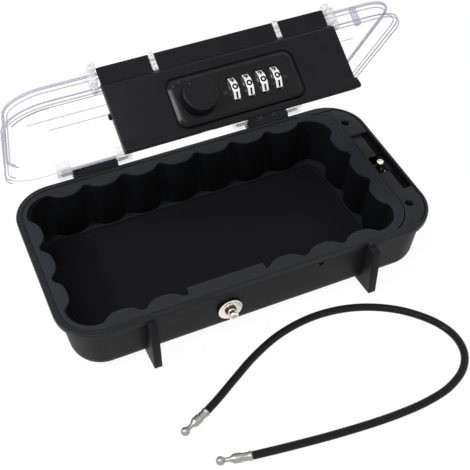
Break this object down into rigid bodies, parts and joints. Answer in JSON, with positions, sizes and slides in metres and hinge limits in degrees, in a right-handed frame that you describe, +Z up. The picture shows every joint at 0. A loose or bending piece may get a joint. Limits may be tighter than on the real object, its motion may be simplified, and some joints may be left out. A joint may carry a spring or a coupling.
{
  "type": "portable car safe",
  "caption": "Small lockable tray with lobed foam lining, clear hinged lid, combination lock with knob on the lid's front, cable port and loose security cable.",
  "frame": {"origin": "on the surface the safe rests on, under the middle of the tray's rim", "axes": "+X along the long side to the cable port, -Y out of the front with the lock, +Z up; the lid is open by 58.7 degrees at rest"},
  "size_m": [0.24, 0.2259, 0.1626],
  "materials": {
    "tray_black": "moulded plastic, fine matt texture",
    "foam": "closed-cell foam, cut faces",
    "clear_plastic": "clear polycarbonate, polished",
    "cover_black": "satin moulded plastic",
    "plate_black": "satin moulded plastic",
    "knob_black": "semi-gloss moulded plastic",
    "screw_black": "black oxide",
    "nickel": "bright nickel plating",
    "dial_silver": "satin plating with black digits",
    "zinc": "die-cast zinc",
    "spring_steel": "plain spring steel",
    "brass": "turned brass",
    "cable_black": "smooth glossy sheath",
    "mark_white": "printed white marks"
  },
  "bodies": {
    "base": {"tray_shell": "tray_black", "foam_liner": "foam", "foam_floor_pad": "foam", "striker_stud": "nickel", "striker_washer": "nickel", "striker_nut": "nickel", "cable_port_plate": "tray_black", "cable_anchor_pin": "nickel", "port_screw_front": "screw_black", "port_screw_back": "screw_black", "hinge_pin_left": "nickel", "hinge_pin_right": "nickel"},
    "lid": {"lid_shell": "clear_plastic", "lock_cover": "cover_black", "lock_plate": "plate_black", "dial_frame": "zinc", "dial_detent_spring": "spring_steel", "bar_return_spring": "spring_steel", "housing_screw_left": "nickel", "housing_screw_right": "nickel"},
    "knob": {"knob": "knob_black", "lock_spindle": "zinc"},
    "locking_bar": {"locking_bar": "zinc", "code_axle": "spring_steel"},
    "dial_1": {"dial_1": "dial_silver", "code_ring_1": "brass"},
    "dial_2": {"dial_2": "dial_silver", "code_ring_2": "brass"},
    "dial_3": {"dial_3": "dial_silver", "code_ring_3": "brass"},
    "dial_4": {"dial_4": "dial_silver", "code_ring_4": "brass"},
    "reset_button": {"code_reset_button": "zinc"},
    "cable": {"cable_jacket": "cable_black", "cable_end_a": "nickel", "cable_end_b": "nickel"}
  },
  "joints": [
    {"name": "lid_hinge", "type": "hinge", "parent": "base", "child": "lid", "pos_m": [0, 0.0672, 0.0435], "axis": [-1, 0, 0], "range_deg": [-58.7, 46.3]},
    {"name": "knob_turn", "type": "hinge", "parent": "lid", "child": "knob", "pos_m": [-0.0214, -0.02278, 0.15164], "axis": [0, 0.5195, -0.8545], "range_deg": [0, 90]},
    {"name": "bar_slide", "type": "slide", "parent": "lid", "child": "locking_bar", "axis": [-1, 0, 0], "range_m": [0, 0.0018]},
    {"name": "dial_1_spin", "type": "hinge", "parent": "lid", "child": "dial_1", "pos_m": [-0.0018, -0.02125, 0.14836], "axis": [1, 0, 0], "continuous": true},
    {"name": "dial_2_spin", "type": "hinge", "parent": "lid", "child": "dial_2", "pos_m": [0.0062, -0.02125, 0.14836], "axis": [1, 0, 0], "continuous": true},
    {"name": "dial_3_spin", "type": "hinge", "parent": "lid", "child": "dial_3", "pos_m": [0.0142, -0.02125, 0.14836], "axis": [1, 0, 0], "continuous": true},
    {"name": "dial_4_spin", "type": "hinge", "parent": "lid", "child": "dial_4", "pos_m": [0.0222, -0.02125, 0.14836], "axis": [1, 0, 0], "continuous": true},
    {"name": "reset_push", "type": "slide", "parent": "lid", "child": "reset_button", "axis": [0, -0.5195, 0.8545], "range_m": [0, 0.0012], "stiffness_N_per_m": 400},
    {"name": "cable_lift", "type": "slide", "parent": "base", "child": "cable", "axis": [0, 0, 1], "range_m": [0, 0.12]}
  ],
  "couplings": [
    {"joint": "bar_slide", "follows": "knob_turn", "m_per_rad": 0.0011459}
  ]
}
